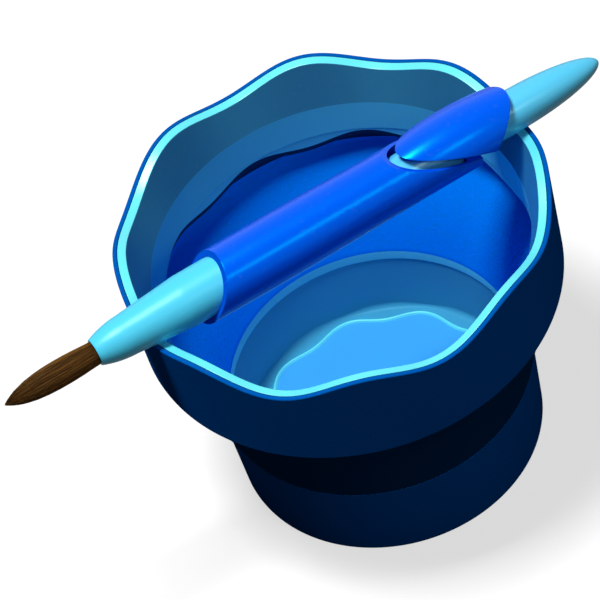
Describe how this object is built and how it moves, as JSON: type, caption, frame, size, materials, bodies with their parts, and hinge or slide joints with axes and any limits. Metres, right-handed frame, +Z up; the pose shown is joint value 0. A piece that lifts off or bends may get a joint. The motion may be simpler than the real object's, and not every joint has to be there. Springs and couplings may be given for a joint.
{
  "type": "collapsible paint cup with brush",
  "caption": "Collapsible paint-water cup with a wavy brush-rest rim, a soft folding wall and a capped round travel brush lying across the rim.",
  "frame": {"origin": "centre of the flat underside of the cup's base, on the table", "axes": "+Z up along the cup's axis, +X along the lying brush from its hair towards its tail"},
  "size_m": [0.1561, 0.0998, 0.0888],
  "materials": {
    "collar_blue": "smooth moulded, satin to gloss",
    "liner_light_blue": "smooth moulded, glossy",
    "fold_blue": "smooth soft elastomer, satin",
    "base_blue": "smooth moulded, satin to gloss",
    "pan_light_blue": "smooth moulded, glossy",
    "hair_brown": "fine dark brown hair",
    "nose_light_blue": "smooth moulded, glossy",
    "ring_dark": "matt rubber",
    "handle_light_blue": "smooth moulded, glossy",
    "sleeve_blue": "smooth moulded, glossy",
    "tab_blue": "smooth moulded, glossy"
  },
  "bodies": {
    "base": {"base_shell": "base_blue", "base_pan": "pan_light_blue", "fold_membrane": "fold_blue"},
    "collar": {"collar_shell": "collar_blue", "collar_liner": "liner_light_blue"},
    "sleeve": {"grip_sleeve": "sleeve_blue"},
    "core": {"brush_hair": "hair_brown", "brush_nose": "nose_light_blue", "slide_ring": "ring_dark", "brush_handle": "handle_light_blue", "thumb_tab": "tab_blue"}
  },
  "joints": [
    {"name": "fold", "type": "slide", "parent": "base", "child": "collar", "axis": [0, 0, -1], "range_m": [0, 0.048], "deforming": ["fold_membrane"]},
    {"name": "brush_lift", "type": "slide", "parent": "collar", "child": "sleeve", "axis": [0, 0, 1], "range_m": [0, 0.06]},
    {"name": "brush_retract", "type": "slide", "parent": "sleeve", "child": "core", "axis": [1, 0, -0.0031], "range_m": [0, 0.055]}
  ]
}
